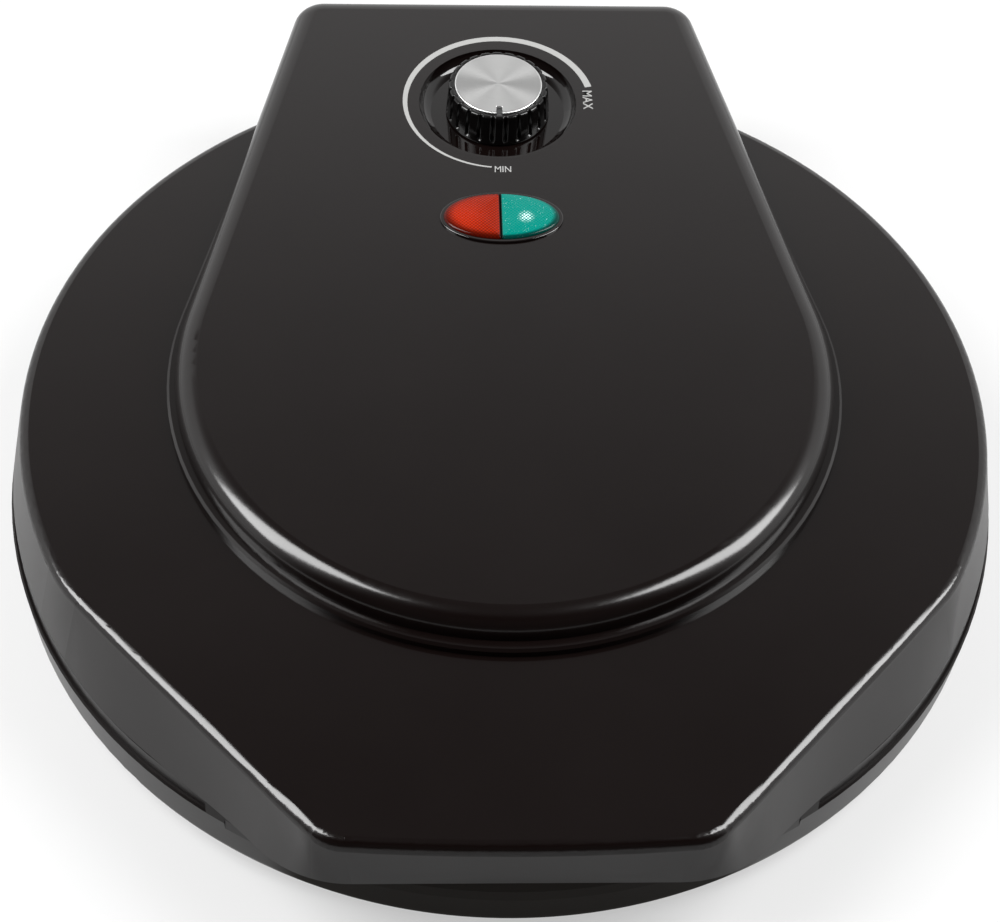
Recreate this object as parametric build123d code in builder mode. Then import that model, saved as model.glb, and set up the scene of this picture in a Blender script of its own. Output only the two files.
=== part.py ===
from build123d import *
import os
from math import acos, asin, cos, degrees, radians, sin, sqrt

# Electric pizza maker: a round countertop cooker with a hinged lid.
# Millimetres, +Z up, front towards -Y, X to the right. The table is Z = 0. It is drawn
# about the round body's axis, and written with the middle of the whole object over the
# origin. The lid is closed and the knob stands at MIN.

# Base
base_radius = 170.0
base_height = 28.2
base_corner = 6.0
rim_flare = 1.5
rim_height = 21.5
rim_edge = 0.7
front_half = 97.0
front_flare = 0.3
panel_half = 91.0
panel_flare = 1.2
foot_height = 8.0
foot_radius = 11.0
foot_taper_angle = 4.0
foot_stem_radius = 3.6
foot_barb_radius = 5.4
foot_barb = 1.2
foot_barb_angle = 20.0
foot_inset = 40.0
wall = 2.5
skin_bite = 1.25
ledge_height = 3.0
ledge_reach = 3.5
ledge_drop = 5.7
vent_gap = 12.0
vent_length = 22.0
vent_width = 3.0
vent_count = 12

# Lid
lid_gap = 0.3
lid_height = 27.8
lid_draft = 5.6
facet_angle = 42.0
facet_depth = 10.0
facet_foot_depth = 4.5
facet_blend = 60.0
nose_overhang = 4.0
nose_foot_overhang = 1.4
nose_crown = 2.6
nose_corner = 14.0
nose_foot_corner = 40.0
lid_edge = 3.5
plinth_height = 3.3
plinth_step = 2.7
plinth_shift = 1.1
plinth_tail = 108.0
plinth_tail_radius = 1.0
plinth_edge = 0.9

# Control cover, the raised tongue on the lid
cover_height = 8.7
cover_radius = 113.0
cover_centre_y = 10.0
cover_tail = 13.5
cover_rear_half = 78.0
cover_corner = 12.0
cover_edge = 8.0
housing_drop = 18.3

# Knob and its dished recess
knob_inset = 33.9
dish_radius = 29.4
dish_floor_radius = 25.0
dish_depth = 4.7
dish_floor_thickness = 2.5
dish_bow = 0.7
knob_radius = 19.3
knob_draft = 0.9
knob_height = 13.0
knob_wall = 2.2
flute_count = 24
flute_radius = 1.2
flute_end = 1.4
knob_edge = 0.6
knob_top = 4.4
cap_radius = 16.2
cap_thickness = 1.4
cap_proud = 0.6
cap_edge = 0.4
notch_width = 1.8
notch_length = 4.5
shaft_radius = 3.0
shaft_flat = 1.2
shaft_end_gap = 1.0
knob_lift = 0.4

# Pilot lamp
lamp_gap = 61.1
lamp_half_length = 22.1
lamp_half_width = 12.6
lamp_split_x = -0.4
bezel_rim = 1.3
bezel_lip = 0.5
bezel_height = 0.8
lens_rise = 2.2
lens_depth = 6.5
lens_edge = 1.6
neon_radius = 3.0
neon_x = 10.0
neon_stub = 1.5

# Cooking plates and what heats them
plate_rim = 6.0
plate_thickness = 5.0
plate_depth = 9.0
flange_play = 4.0
flange_width = 9.5
flange_thickness = 2.0
plate_edge = 1.5
plate_corner = 4.0
plate_gap = 0.3
meeting_drop = 0.35
upper_seat_rise = 4.0
tube_radius = 3.25
tube_inset = 51.0
tube_gap = 24.92
tail_bend = 12.0
tail_length = 16.0
pin_radius = 1.5
pin_length = 7.0
groove_rib = 1.7
groove_rib_height = 5.0
groove_break_width = 52.5
groove_break_length = 48.0
shield_thickness = 0.8
shield_inset = 14.0
lower_shield_gap = 1.7
upper_shield_gap = 0.5
shield_lip = 1.6
shield_clearance = 1.0

# Screws, bosses and fits
screw_radius = 2.0
screw_head_radius = 4.0
screw_head = 2.8
screw_circle = 60.0
boss_radius = 6.0
plate_boss = 5.0
small_screw_radius = 1.5
small_head_radius = 3.0
small_head = 2.0
small_boss_radius = 4.0
small_screw_inset = 15.0
screw_angles = (30, 150, 270)
cover_screw_x = (85.0, 60.0)
cover_screw_reach = (-30.0, 23.9)
clear_hole = 0.2
side_play = 0.3
running_fit = 0.05

# Hinge
hinge_reach = 13.0
hinge_z = 42.0
arm_x = 58.0
arm_width = 12.0
arm_boss = 8.5
arm_root = 32.0
arm_setback = 4.0
arm_waist = 6.25
arm_shoulder = 2.0
ear_width = 5.0
ear_radius = 8.0
hinge_pin_radius = 3.0
hinge_pin_head_radius = 4.5
hinge_pin_head = 1.5

# Electrics
window_half = 32.0
window_past_lamp = 25.0
window_past_knob = 16.9
window_corner = 6.0
thermostat_length = 36.0
thermostat_width = 26.0
thermostat_height = 9.0
thermostat_corner = 2.0
thermostat_ear = 1.2
thermostat_ear_length = 53.0
thermostat_ear_width = 11.0
thermostat_ear_corner = 3.0
thermostat_screw_bite = 1.6
thermostat_screw_x = 22.5
lead_radius = 1.2
lead_bend = 2.5
terminal_length = 4.0
lead_spread = 4.5
block_length = 30.0
block_width = 12.0
block_gap = 1.5
block_corner = 1.0
block_inset = 18.0
block_rib = 1.5
block_rib_height = 5.0
grommet_radius = 4.8
grommet_flange_radius = 6.2
grommet_flange = 2.0
cord_hole_radius = 3.3
fuse_radius = 2.2
fuse_length = 14.0
fuse_x = -38.0
fuse_inset = 31.0
clip_thickness = 0.8
clip_width = 7.0
clip_foot = 9.0

# Plan sizes that follow
cavity_radius = base_radius - wall
rim_radius = base_radius + rim_flare
lid_top_radius = base_radius - lid_draft
lid_facet = base_radius - facet_depth
facet_foot = base_radius - facet_foot_depth
nose_side_y = base_radius + nose_overhang
nose_reach = nose_side_y + nose_crown
nose_foot_y = base_radius + nose_foot_overhang
flange_radius = cavity_radius - flange_play
plate_radius = flange_radius - flange_width
tube_circle = plate_radius - tube_inset
tube_gap_angle = degrees(asin(tube_gap / tube_circle))
shield_radius = plate_radius - shield_inset
small_circle = shield_radius - small_screw_inset
vent_circle = screw_circle + vent_gap + vent_length / 2
foot_circle = base_radius - foot_inset
knob_y = base_radius - knob_inset
lamp_y = knob_y - lamp_gap
window_front = lamp_y - window_past_lamp
window_rear = knob_y + window_past_knob
hinge_y = base_radius + hinge_reach
arm_root_y = base_radius - arm_root
block_y = base_radius - block_inset
fuse_y = tube_circle - fuse_inset
plinth_radius = cover_radius + plinth_step
plinth_centre_y = cover_centre_y - plinth_shift
plinth_tail_y = cover_centre_y + plinth_tail
cover_screw_y = (cover_centre_y + cover_screw_reach[0], knob_y + cover_screw_reach[1])
cover_screws_at = [(side * x, y) for x, y in zip(cover_screw_x, cover_screw_y) for side in (1, -1)]
cover_rear_y = hinge_y + cover_tail
cover_corner_x = cover_rear_half - cover_corner
cover_corner_y = cover_rear_y - cover_corner
middle_y = (cover_rear_y - nose_reach) / 2

# Heights that follow
floor_z = foot_height
floor_top_z = floor_z + wall
rim_z = floor_z + rim_height
base_rim_z = floor_z + base_height
lower_seat_z = base_rim_z - ledge_drop
lid_bottom_z = base_rim_z + lid_gap
lid_top_z = lid_bottom_z + lid_height
skin_z = lid_top_z - wall
plinth_z = lid_top_z + plinth_height
cover_top_z = plinth_z + cover_height
cover_ceiling_z = cover_top_z - wall
dish_floor_z = cover_top_z - dish_depth
dish_under_z = dish_floor_z - dish_floor_thickness
housing_z = skin_z - housing_drop + wall

rim_half_gap = plate_gap / 2
meeting_z = lid_bottom_z - meeting_drop
lower_rim_z = meeting_z - rim_half_gap
upper_rim_z = meeting_z + rim_half_gap
lower_face_z = lower_rim_z - plate_depth
lower_back_z = lower_face_z - plate_thickness
upper_face_z = upper_rim_z + plate_depth
upper_back_z = upper_face_z + plate_thickness
upper_seat_z = lid_bottom_z + upper_seat_rise
lower_tube_z = lower_back_z - tube_radius
upper_tube_z = upper_back_z + tube_radius
lower_shield_z = lower_tube_z - tube_radius - lower_shield_gap
upper_shield_z = upper_tube_z + tube_radius + upper_shield_gap
lower_boss_z = lower_back_z - plate_boss
upper_boss_z = upper_back_z + plate_boss
grommet_z = lower_seat_z - ledge_height - grommet_flange_radius - clear_hole


def ring(inner, outer, low, high, mode=Mode.ADD):
    """A round wall on the body's axis."""
    with BuildSketch(Plane.XY.offset(low)) as plan:
        Circle(outer)
        if inner > 0:
            Circle(inner, mode=Mode.SUBTRACT)
    extrude(plan.sketch, amount=high - low, mode=mode)


def post(x, y, radius, low, high, mode=Mode.ADD):
    """An upright cylinder, or a hole, at x, y."""
    with BuildSketch(Plane.XY.offset(low)) as plan:
        with Locations((x, y)):
            Circle(radius)
    extrude(plan.sketch, amount=high - low, mode=mode)


def around(radius):
    """The three places where plates and shields are screwed down."""
    return [(radius * cos(radians(a)), radius * sin(radians(a))) for a in screw_angles]


def screw(x, y, radius, head_radius, head, seat, tip):
    """A pan-head screw: its head stands on seat, away from tip."""
    post(x, y, radius, min(seat, tip), max(seat, tip))
    if tip > seat:
        post(x, y, head_radius, seat - head, seat)
    else:
        post(x, y, head_radius, seat, seat + head)


def export(builder, name):
    """Centres a finished piece's place on the whole object, labels it and writes it."""
    piece = builder.part.moved(Location((0, -middle_y, 0)))
    piece.label = name
    export_step(piece, f"parts/{name}.step")


def lid_outline(level, radius, facet, nose_y, crown, corner, flat):
    """The lid's plan: a circle, a facet on each side that runs on to the nose, and the nose.

    Where flat is false, as at the foot, the side follows the circle and then turns to the nose.
    """
    normal = Vector(cos(radians(facet_angle)), -sin(radians(facet_angle)))
    along = Vector(-normal.Y, normal.X)
    blend_run = sqrt((radius - facet_blend) ** 2 - (facet - facet_blend) ** 2)
    blend_centre = normal * (facet - facet_blend) + along * blend_run
    blend_start = blend_centre.normalized() * radius
    blend_end = normal * facet + along * blend_run
    nose_end = Vector((facet + nose_y * normal.Y) / normal.X, -nose_y)
    if flat:
        blend_middle = blend_centre + (blend_start + blend_end - blend_centre * 2).normalized() * facet_blend
    else:
        blend_end = blend_end.normalized() * radius
        blend_middle = (blend_start + blend_end).normalized() * radius
        facet_end = normal * facet - along * sqrt(radius ** 2 - facet ** 2)
        circle_end = (normal * radius + facet_end).normalized() * radius
        tangent = Vector(blend_end.Y, -blend_end.X)
    with BuildSketch(Plane.XY.offset(level)) as outline:
        with BuildLine():
            ThreePointArc((0, radius), (radius * cos(radians(45)), radius * sin(radians(45))), blend_start)
            ThreePointArc(blend_start, blend_middle, blend_end)
            if flat:
                Line(blend_end, nose_end)
            else:
                Spline(blend_end, normal * radius, circle_end, (facet_end + nose_end) / 2, nose_end,
                       tangents=(tangent, nose_end - facet_end))
            mirror(about=Plane.YZ)
            if crown:
                ThreePointArc(nose_end, (0, -nose_y - crown), (-nose_end.X, -nose_y))
            else:
                Line(nose_end, (-nose_end.X, -nose_y))
        make_face()
        fillet(outline.vertices().sort_by(Axis.Y)[:2], corner)
    return outline.sketch


def cavity_outline(level, radius, flat):
    """The plan of the lid's hollow: a circle, flat at the facets near the top."""
    half = acos((lid_facet - wall) / (lid_top_radius - wall))
    near = -radians(facet_angle) + half
    far = -radians(facet_angle) - half
    points = [(radius * cos(a), radius * sin(a)) for a in (near, far)]
    with BuildSketch(Plane.XY.offset(level)) as outline:
        with BuildLine():
            CenterArc((0, 0), radius, degrees(near), 180 - 2 * degrees(near))
            for side in (-1, 1):
                a = (side * points[0][0], points[0][1])
                b = (side * points[1][0], points[1][1])
                if flat:
                    Line(a, b)
                else:
                    middle = -radians(facet_angle)
                    ThreePointArc(a, (side * radius * cos(middle), radius * sin(middle)), b)
            ThreePointArc((-points[1][0], points[1][1]), (0, -radius), points[1])
        make_face()
    return outline.sketch


def cover_outline(level, inset):
    """The tongue's plan: a round front, tapering sides and a straight rear."""
    with BuildSketch(Plane.XY.offset(level)) as outline:
        with Locations((0, cover_centre_y)):
            Circle(cover_radius - inset)
        with Locations((cover_corner_x, cover_corner_y), (-cover_corner_x, cover_corner_y)):
            Circle(cover_corner - inset)
        make_hull()
    return outline.sketch


def cover_half_width(y):
    """Half the tongue's width at y, on its straight sides."""
    run = cover_corner_y - cover_centre_y
    rise = cover_radius - cover_corner
    span = sqrt(cover_corner_x ** 2 + run ** 2)
    lean = acos(rise / span)
    side = Vector(cover_corner_x, run).normalized()
    normal = Vector(side.X * cos(lean) + side.Y * sin(lean), side.Y * cos(lean) - side.X * sin(lean))
    return (cover_radius - (y - cover_centre_y) * normal.Y) / normal.X


os.makedirs("parts", exist_ok=True)
on_seat = (Align.CENTER, Align.CENTER, Align.MIN)

# Base shell
with BuildPart() as base_hollow:
    ring(0, cavity_radius, floor_top_z, lower_seat_z - ledge_height)
    fillet(base_hollow.edges().sort_by(Axis.Z)[0], base_corner - wall)

# The front stands up to the lid, where the rest is stepped in
front_z = rim_z - rim_edge
front_radius = rim_radius - rim_flare * rim_edge / rim_height
with BuildPart() as base_front:
    with Locations((0, 0, front_z)):
        Cone(front_radius, base_radius + front_flare, base_rim_z - front_z, align=on_seat)
    ring(0, cavity_radius, front_z, base_rim_z, Mode.SUBTRACT)
    with Locations((0, 0, front_z)):
        Box(2 * front_half, rim_radius, base_height, align=(Align.CENTER, Align.MAX, Align.MIN),
            mode=Mode.INTERSECT)

with BuildPart() as base_shell:
    with Locations((0, 0, floor_z)):
        Cone(base_radius, rim_radius, rim_height, align=on_seat)
    fillet(base_shell.edges().sort_by(Axis.Z)[0], base_corner)
    chamfer(base_shell.edges().sort_by(Axis.Z)[-1], rim_edge)
    ring(0, base_radius, rim_z, base_rim_z)
    add(base_front.part)
    # A shallow panel with upright sides, sunk into the front
    with BuildSketch(Plane.XY.offset(floor_z + base_corner)):
        Circle(rim_radius + wall)
        Circle(base_radius + panel_flare, mode=Mode.SUBTRACT)
        Rectangle(2 * panel_half, 2 * rim_radius, align=(Align.CENTER, Align.MAX), mode=Mode.INTERSECT)
    extrude(amount=base_height, mode=Mode.SUBTRACT)
    for side in (-1, 1):
        with BuildSketch(Plane.YZ.offset(side * arm_x - arm_width / 2)):
            with BuildLine():
                Polyline(
                    (arm_root_y, floor_z + base_corner),
                    (base_radius - arm_setback, floor_z + base_corner),
                    (hinge_y - arm_waist, hinge_z - arm_boss),
                    (hinge_y, hinge_z - arm_boss),
                    (hinge_y, hinge_z),
                    (hinge_y - arm_boss, hinge_z),
                    (hinge_y - arm_boss - arm_shoulder, base_rim_z),
                    (arm_root_y, base_rim_z),
                    close=True,
                )
            make_face()
            with Locations((hinge_y, hinge_z)):
                Circle(arm_boss)
        extrude(amount=arm_width)
    ring(0, cavity_radius, lower_seat_z, base_rim_z + lid_gap, Mode.SUBTRACT)
    ring(0, flange_radius - ledge_reach, lower_seat_z - ledge_height, lower_seat_z, Mode.SUBTRACT)
    add(base_hollow.part, mode=Mode.SUBTRACT)
    with BuildSketch(Plane.YZ.offset(-arm_x - arm_width)):
        with Locations((hinge_y, hinge_z)):
            Circle(hinge_pin_radius + running_fit)
    extrude(amount=2 * (arm_x + arm_width), mode=Mode.SUBTRACT)
    for x, y in around(screw_circle):
        post(x, y, boss_radius, floor_top_z, lower_boss_z)
        post(x, y, screw_radius + clear_hole, floor_z, lower_boss_z, Mode.SUBTRACT)
        post(x, y, screw_head_radius + clear_hole, floor_z, floor_top_z + skin_bite, Mode.SUBTRACT)
    for x, y in around(small_circle):
        post(x, y, small_boss_radius, floor_top_z, lower_shield_z)
        post(x, y, small_screw_radius, floor_z + skin_bite, lower_shield_z, Mode.SUBTRACT)
    with BuildSketch(Plane.XY.offset(floor_z)):
        with PolarLocations(foot_circle, 4, start_angle=45):
            Circle(foot_stem_radius)
        with PolarLocations(vent_circle, vent_count, start_angle=15):
            SlotOverall(vent_length, vent_width)
    extrude(amount=wall, mode=Mode.SUBTRACT)
    for side in (-1, 1):
        with BuildSketch(Plane.XY.offset(floor_top_z)):
            with Locations((side * (block_length + block_rib) / 2, block_y)):
                Rectangle(block_rib, block_width)
        extrude(amount=block_rib_height)
    with BuildSketch(Plane.XZ.offset(-rim_radius - wall)):
        with Locations((0, grommet_z)):
            Circle(grommet_radius)
    extrude(amount=4 * wall, mode=Mode.SUBTRACT)
export(base_shell, "base_shell")

# Rubber feet, pressed into the floor
with BuildPart() as feet:
    with BuildSketch():
        with PolarLocations(foot_circle, 4, start_angle=45):
            Circle(foot_radius)
    extrude(amount=foot_height, taper=foot_taper_angle)
    with BuildSketch(Plane.XY.offset(foot_height)):
        with PolarLocations(foot_circle, 4, start_angle=45):
            Circle(foot_stem_radius)
    extrude(amount=wall)
    with BuildSketch(Plane.XY.offset(floor_top_z)):
        with PolarLocations(foot_circle, 4, start_angle=45):
            Circle(foot_barb_radius)
    extrude(amount=foot_barb, taper=foot_barb_angle)
export(feet, "feet")


def plate(back_z, face_z, rim_z, seat_z, boss_z):
    """A cooking plate. Its back carries the tube's groove and the screw bosses."""
    up = 1 if rim_z > face_z else -1
    floor_low = min(back_z, face_z)
    with BuildPart() as made:
        ring(0, plate_radius, floor_low, floor_low + plate_thickness)
        ring(plate_radius - plate_rim, plate_radius, min(back_z, rim_z), max(back_z, rim_z))
        ring(plate_radius - plate_rim / 2, flange_radius, min(seat_z, seat_z + up * flange_thickness),
             max(seat_z, seat_z + up * flange_thickness))
        fillet(made.edges().filter_by(GeomType.CIRCLE).group_by(Axis.Z)[-1 if up > 0 else 0], plate_edge)
        at_face = made.edges().filter_by(GeomType.CIRCLE).filter_by_position(Axis.Z, face_z, face_z)
        fillet(at_face.sort_by(SortBy.RADIUS)[-1], plate_corner)
        rib_end = back_z - up * groove_rib_height
        for inner in (tube_circle - tube_radius - groove_rib - running_fit,
                      tube_circle + tube_radius + running_fit):
            ring(inner, inner + groove_rib, min(back_z, rib_end), max(back_z, rib_end))
        with BuildSketch(Plane.XY.offset(min(back_z, rib_end))):
            with Locations((0, tube_circle)):
                Rectangle(groove_break_width, groove_break_length)
        extrude(amount=groove_rib_height, mode=Mode.SUBTRACT)
        tip = back_z + up * plate_thickness / 2
        for x, y in around(screw_circle):
            post(x, y, boss_radius, min(back_z, boss_z), max(back_z, boss_z))
            post(x, y, screw_radius, min(boss_z, tip), max(boss_z, tip), Mode.SUBTRACT)
        if up < 0:
            post(fuse_x, fuse_y + fuse_radius + clip_foot / 2, small_screw_radius,
                 tip, back_z, Mode.SUBTRACT)
    return made


def heater(level):
    """A tubular element: an open ring, its tails turned inwards, and a pin at each end."""
    start = 90 + tube_gap_angle
    turn = 360 - 2 * tube_gap_angle
    with BuildPart() as made:
        with BuildLine(Plane.XY.offset(level)) as path:
            ring_line = CenterArc((0, 0), tube_circle, start, turn)
            right = JernArc(ring_line @ 1, ring_line % 1, tail_bend, 90 + tube_gap_angle)
            Line(right @ 1, right @ 1 + Vector(0, -tail_length, 0))
            left_tangent = (ring_line % 0) * -1
            left = JernArc(ring_line @ 0, left_tangent, tail_bend, -90 - tube_gap_angle)
            Line(left @ 1, left @ 1 + Vector(0, -tail_length, 0))
        with BuildSketch(Plane(origin=ring_line @ 0.5, z_dir=ring_line % 0.5)):
            Circle(tube_radius)
        sweep(path=path.line)
        tail_y = (right @ 1).Y - tail_length
        tail_x = (right @ 1).X
        for side in (-1, 1):
            with BuildSketch(Plane(origin=(side * tail_x, tail_y, level), z_dir=(0, -1, 0))):
                Circle(pin_radius)
            extrude(amount=pin_length)
    return made, abs(tail_x), tail_y


lower_plate = plate(lower_back_z, lower_face_z, lower_rim_z, lower_seat_z, lower_boss_z)
export(lower_plate, "lower_plate")
upper_plate = plate(upper_back_z, upper_face_z, upper_rim_z, upper_seat_z, upper_boss_z)
export(upper_plate, "upper_plate")

lower_element, tail_x, tail_y = heater(lower_tube_z)
export(lower_element, "lower_element")
upper_element, tail_x, tail_y = heater(upper_tube_z)
export(upper_element, "upper_element")

# Heat shields, thin pans behind the elements
with BuildPart() as lower_shield:
    ring(0, shield_radius, lower_shield_z, lower_shield_z + shield_thickness)
    ring(shield_radius - shield_thickness, shield_radius, lower_shield_z,
         lower_shield_z + shield_thickness + shield_lip)
    for x, y in around(screw_circle):
        post(x, y, boss_radius + shield_clearance, lower_shield_z, lower_shield_z + shield_thickness,
             Mode.SUBTRACT)
    for x, y in around(small_circle):
        post(x, y, small_screw_radius, lower_shield_z, lower_shield_z + shield_thickness, Mode.SUBTRACT)
export(lower_shield, "lower_shield")

with BuildPart() as upper_shield:
    ring(0, shield_radius, upper_shield_z, upper_shield_z + shield_thickness)
    ring(shield_radius - shield_thickness, shield_radius, upper_shield_z - shield_lip,
         upper_shield_z + shield_thickness)
    for x, y in around(screw_circle):
        post(x, y, boss_radius + shield_clearance, upper_shield_z, upper_shield_z + shield_thickness,
             Mode.SUBTRACT)
    for x, y in around(small_circle):
        post(x, y, small_screw_radius, upper_shield_z, upper_shield_z + shield_thickness, Mode.SUBTRACT)
    for side in (-1, 1):
        with BuildSketch(Plane.XY.offset(upper_shield_z)):
            with Locations((side * tail_x, tail_y - pin_length - lead_bend)):
                Rectangle(6 * lead_radius, 4 * lead_bend)
        extrude(amount=shield_thickness, mode=Mode.SUBTRACT)
export(upper_shield, "upper_shield")

# Screws
with BuildPart() as lower_plate_screws:
    for x, y in around(screw_circle):
        screw(x, y, screw_radius, screw_head_radius, screw_head, floor_top_z + skin_bite,
              lower_back_z + plate_thickness / 2)
export(lower_plate_screws, "lower_plate_screws")

with BuildPart() as upper_plate_screws:
    for x, y in around(screw_circle):
        screw(x, y, screw_radius, screw_head_radius, screw_head, lid_top_z,
              upper_back_z - plate_thickness / 2)
export(upper_plate_screws, "upper_plate_screws")

with BuildPart() as lower_shield_screws:
    for x, y in around(small_circle):
        screw(x, y, small_screw_radius, small_head_radius, small_head,
              lower_shield_z + shield_thickness, floor_z + skin_bite)
export(lower_shield_screws, "lower_shield_screws")

with BuildPart() as upper_shield_screws:
    for x, y in around(small_circle):
        screw(x, y, small_screw_radius, small_head_radius, small_head, upper_shield_z,
              skin_z + skin_bite)
export(upper_shield_screws, "upper_shield_screws")

with BuildPart() as cover_screws:
    for x, y in cover_screws_at:
        screw(x, y, small_screw_radius, small_head_radius, small_head, skin_z, cover_ceiling_z - wall)
export(cover_screws, "cover_screws")

# Lid shell
lid_foot = lid_outline(lid_bottom_z, base_radius, facet_foot, nose_foot_y, 0, nose_foot_corner, False)
lid_top = lid_outline(lid_top_z, lid_top_radius, lid_facet, nose_side_y, nose_crown, nose_corner, True)
hollow_foot = cavity_outline(lid_bottom_z, cavity_radius, False)
hollow_top = cavity_outline(skin_z, lid_top_radius - wall, True)

with BuildPart() as lid_body:
    loft([lid_foot, lid_top], ruled=True)
    fillet(lid_body.faces().sort_by(Axis.Z)[-1].edges(), lid_edge)

with BuildPart() as lid_hollow:
    loft([hollow_foot, hollow_top], ruled=True)
    ring(flange_radius - ledge_reach, base_radius, upper_seat_z, upper_seat_z + ledge_height, Mode.SUBTRACT)

with BuildPart() as housing_hollow:
    extrude(cover_outline(housing_z, wall), amount=skin_z - housing_z, dir=(0, 0, 1))
    add(lid_body.part, mode=Mode.SUBTRACT)

with BuildPart() as plinth:
    with BuildSketch(Plane.XY.offset(skin_z)):
        with Locations((0, plinth_centre_y)):
            Circle(plinth_radius)
        tail_half = cover_half_width(plinth_tail_y) - plinth_tail_radius
        with Locations((tail_half, plinth_tail_y), (-tail_half, plinth_tail_y)):
            Circle(plinth_tail_radius)
        make_hull()
    extrude(amount=plinth_z - skin_z)
    chamfer(plinth.faces().sort_by(Axis.Z)[-1].edges(), plinth_edge)

with BuildPart() as lid_shell:
    add(lid_body.part)
    extrude(cover_outline(housing_z, 0), amount=plinth_z - housing_z, dir=(0, 0, 1))
    add(plinth.part)
    extrude(cover_outline(lid_top_z, wall), amount=plinth_height, dir=(0, 0, 1), mode=Mode.SUBTRACT)
    add(lid_hollow.part, mode=Mode.SUBTRACT)
    add(housing_hollow.part, mode=Mode.SUBTRACT)
    for x, y in around(screw_circle):
        post(x, y, boss_radius, upper_boss_z, skin_z)
        post(x, y, screw_radius + clear_hole, upper_boss_z, lid_top_z, Mode.SUBTRACT)
    for x, y in around(small_circle):
        post(x, y, small_boss_radius, upper_shield_z + shield_thickness, skin_z)
        post(x, y, small_screw_radius, upper_shield_z, skin_z + skin_bite, Mode.SUBTRACT)
    for x, y in cover_screws_at:
        post(x, y, small_screw_radius + clear_hole, skin_z, lid_top_z, Mode.SUBTRACT)
    with BuildSketch(Plane.XY.offset(skin_z)):
        with Locations((0, (window_front + window_rear) / 2)):
            RectangleRounded(2 * window_half, window_rear - window_front, window_corner)
    extrude(amount=wall, mode=Mode.SUBTRACT)
    ear_inner = arm_width / 2 + side_play
    for side in (-1, 1):
        for low in (-ear_inner - ear_width, ear_inner):
            with BuildSketch(Plane.YZ.offset(side * arm_x + low)):
                with Locations((hinge_y, hinge_z)):
                    Circle(ear_radius)
                with Locations((hinge_y, (hinge_z + skin_z) / 2)):
                    Rectangle(2 * ear_radius, skin_z - hinge_z)
            extrude(amount=ear_width)
    with BuildSketch(Plane.YZ.offset(-arm_x - arm_width)):
        with Locations((hinge_y, hinge_z)):
            Circle(hinge_pin_radius)
    extrude(amount=2 * (arm_x + arm_width), mode=Mode.SUBTRACT)
export(lid_shell, "lid_shell")

# Hinge pins, pressed into the lid's ears and turning in the arms
with BuildPart() as hinge_pins:
    reach = ear_inner + ear_width
    for side in (-1, 1):
        head = reach if side < 0 else -reach - hinge_pin_head
        with BuildSketch(Plane.YZ.offset(side * arm_x - reach)):
            with Locations((hinge_y, hinge_z)):
                Circle(hinge_pin_radius)
        extrude(amount=2 * reach)
        with BuildSketch(Plane.YZ.offset(side * arm_x + head)):
            with Locations((hinge_y, hinge_z)):
                Circle(hinge_pin_head_radius)
        extrude(amount=hinge_pin_head)
export(hinge_pins, "hinge_pins")

# Control cover
with BuildPart() as cover_hollow:
    extrude(cover_outline(plinth_z, wall), amount=cover_height - wall, dir=(0, 0, 1))
    fillet(cover_hollow.faces().sort_by(Axis.Z)[-1].edges(), cover_edge - wall)

with BuildPart() as control_cover:
    extrude(cover_outline(plinth_z, 0), amount=cover_height, dir=(0, 0, 1))
    fillet(control_cover.faces().sort_by(Axis.Z)[-1].edges(), cover_edge)
    add(cover_hollow.part, mode=Mode.SUBTRACT)
    post(0, knob_y, dish_radius + wall, dish_under_z, cover_ceiling_z + skin_bite)
    for x, y in cover_screws_at:
        post(x, y, small_boss_radius, lid_top_z, cover_ceiling_z + skin_bite)
        post(x, y, small_screw_radius, lid_top_z, cover_ceiling_z - wall, Mode.SUBTRACT)
    with BuildSketch(Plane(origin=(0, knob_y, dish_floor_z), x_dir=(1, 0, 0), z_dir=(0, -1, 0))):
        with BuildLine():
            Line((0, 0), (dish_floor_radius, 0))
            ThreePointArc(
                (dish_floor_radius, 0),
                ((dish_floor_radius + dish_radius) / 2 + dish_bow, dish_depth / 2 - dish_bow),
                (dish_radius, dish_depth),
            )
            Line((dish_radius, dish_depth), (0, dish_depth))
            Line((0, dish_depth), (0, 0))
        make_face()
    revolve(axis=Axis((0, knob_y, 0), (0, 0, 1)), mode=Mode.SUBTRACT)
    post(0, knob_y, shaft_radius + side_play, dish_under_z, dish_floor_z, Mode.SUBTRACT)
    for side in (-1, 1):
        post(side * thermostat_screw_x, knob_y, small_screw_radius, dish_under_z,
             dish_under_z + thermostat_screw_bite, Mode.SUBTRACT)
    with BuildSketch(Plane.XY.offset(cover_ceiling_z)):
        with Locations((0, lamp_y)):
            Ellipse(lamp_half_length - bezel_lip, lamp_half_width - bezel_lip)
    extrude(amount=wall, mode=Mode.SUBTRACT)
export(control_cover, "control_cover")

# Pilot lamp: the bezel clips into the cover and holds both lenses
lens_half_length = lamp_half_length - bezel_rim
lens_half_width = lamp_half_width - bezel_rim
with BuildPart() as lamp_bezel:
    with BuildSketch(Plane.XY.offset(cover_top_z)):
        with Locations((0, lamp_y)):
            Ellipse(lamp_half_length, lamp_half_width)
    extrude(amount=bezel_height)
    fillet(lamp_bezel.faces().sort_by(Axis.Z)[-1].edges(), bezel_height / 2)
    with BuildSketch(Plane.XY.offset(cover_ceiling_z - wall)):
        with Locations((0, lamp_y)):
            Ellipse(lamp_half_length - bezel_lip, lamp_half_width - bezel_lip)
    extrude(amount=2 * wall)
    with BuildSketch(Plane.XY.offset(cover_ceiling_z - wall)):
        with Locations((0, lamp_y)):
            Ellipse(lens_half_length, lens_half_width)
    extrude(amount=2 * wall + bezel_height, mode=Mode.SUBTRACT)
export(lamp_bezel, "lamp_bezel")


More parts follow.
